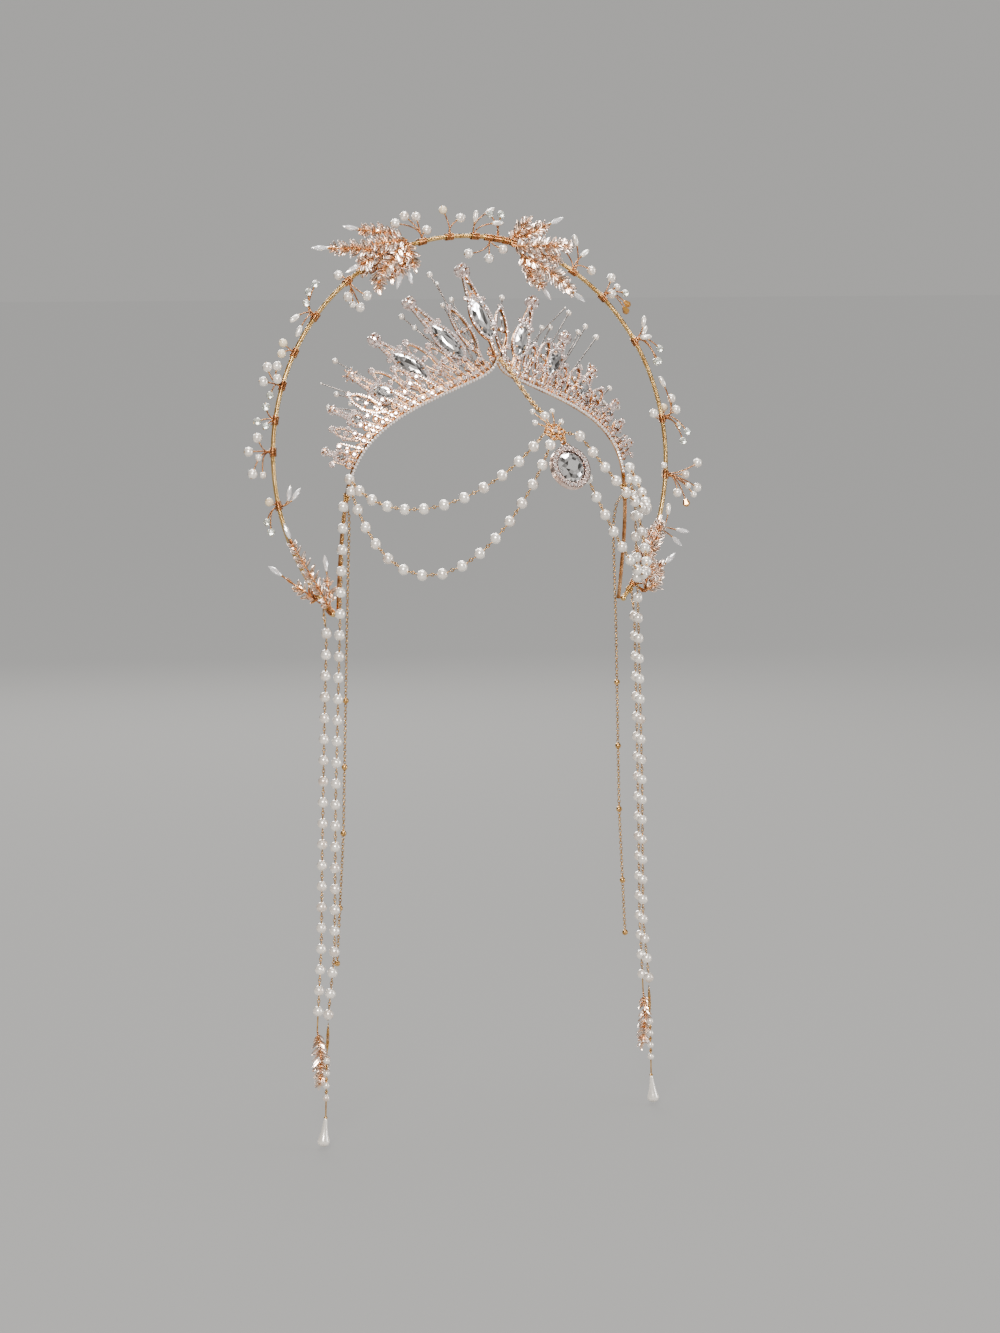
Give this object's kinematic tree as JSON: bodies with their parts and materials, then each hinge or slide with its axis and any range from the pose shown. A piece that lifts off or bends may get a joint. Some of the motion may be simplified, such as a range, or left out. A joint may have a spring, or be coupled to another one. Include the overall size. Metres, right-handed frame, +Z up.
{
  "type": "halo crown",
  "caption": "Tiara with a forehead drop, pearl swags and side tassels, inside a tall wire hoop set with pearl sprays and leaf fronds.",
  "frame": {"origin": "midway between the tiara's two ends, where the crown sits on the head", "axes": "+Z up, the face looks along -Y, +X towards the wearer's left"},
  "size_m": [0.2889, 0.1385, 0.5182],
  "materials": {
    "gold_wire": "polished yellow gold plate, wound wire, with rosy turns",
    "rhinestone_silver": "pale silver cast metal, paved with small clear stones, rosy copper in the recesses",
    "cut_crystal": "clear faceted glass with a silvered back",
    "rose_gold": "polished rose gold leaflets with pale pink highlights",
    "pearl": "creamy white pearl lustre",
    "champagne_pearl": "champagne pearl lustre",
    "clear_bead": "clear grey-green glass beads",
    "long_crystal": "long white cut crystals"
  },
  "bodies": {
    "root": {"halo_hoop": "gold_wire", "tiara_frame": "rhinestone_silver", "crystal_centre": "cut_crystal", "crystal_left_1": "cut_crystal", "crystal_left_2": "cut_crystal", "crystal_left_3": "cut_crystal", "crystal_right_1": "cut_crystal", "crystal_right_2": "cut_crystal", "crystal_right_3": "cut_crystal", "sprig_left_upper": "pearl", "sprig_left_lower": "pearl", "sprig_right_upper": "pearl", "sprig_right_lower": "pearl", "forehead_chain": "gold_wire", "connector": "gold_wire", "pendant_setting": "rhinestone_silver", "pendant_stone": "cut_crystal", "swag_left_upper": "pearl", "swag_left_lower": "pearl", "swag_right_upper": "pearl", "swag_right_lower": "pearl", "tassel_front_left": "pearl", "tassel_back_left": "pearl", "tassel_chain_left": "gold_wire", "tassel_drop_left": "pearl", "tassel_frond_left": "rose_gold", "tassel_front_right": "pearl", "tassel_back_right": "pearl", "tassel_chain_right": "gold_wire", "tassel_drop_right": "pearl", "tassel_frond_right": "rose_gold", "spray_top_left": "pearl", "spray_top_pearl": "pearl", "spray_top_rice": "pearl", "spray_top_clear": "clear_bead", "spray_inner_right": "pearl", "spray_right_rice": "pearl", "spray_right_pearl": "pearl", "spray_right_upper": "pearl", "spray_right_middle": "pearl", "spray_right_low": "pearl", "spray_right_end": "long_crystal", "spray_inner_left": "pearl", "spray_left_upper": "pearl", "spray_left_champagne": "champagne_pearl", "spray_left_pearl": "pearl", "spray_left_clear": "clear_bead", "spray_left_low": "pearl", "spray_left_end": "pearl", "frond_top_left_1": "rose_gold", "frond_top_left_2": "rose_gold", "frond_top_left_3": "rose_gold", "frond_top_left_4": "rose_gold", "frond_top_right_1": "rose_gold", "frond_top_right_2": "rose_gold", "frond_top_right_3": "rose_gold", "frond_left_end_1": "rose_gold", "frond_left_end_2": "rose_gold", "frond_right_end_1": "rose_gold", "frond_right_end_2": "rose_gold"}
  },
  "joints": []
}
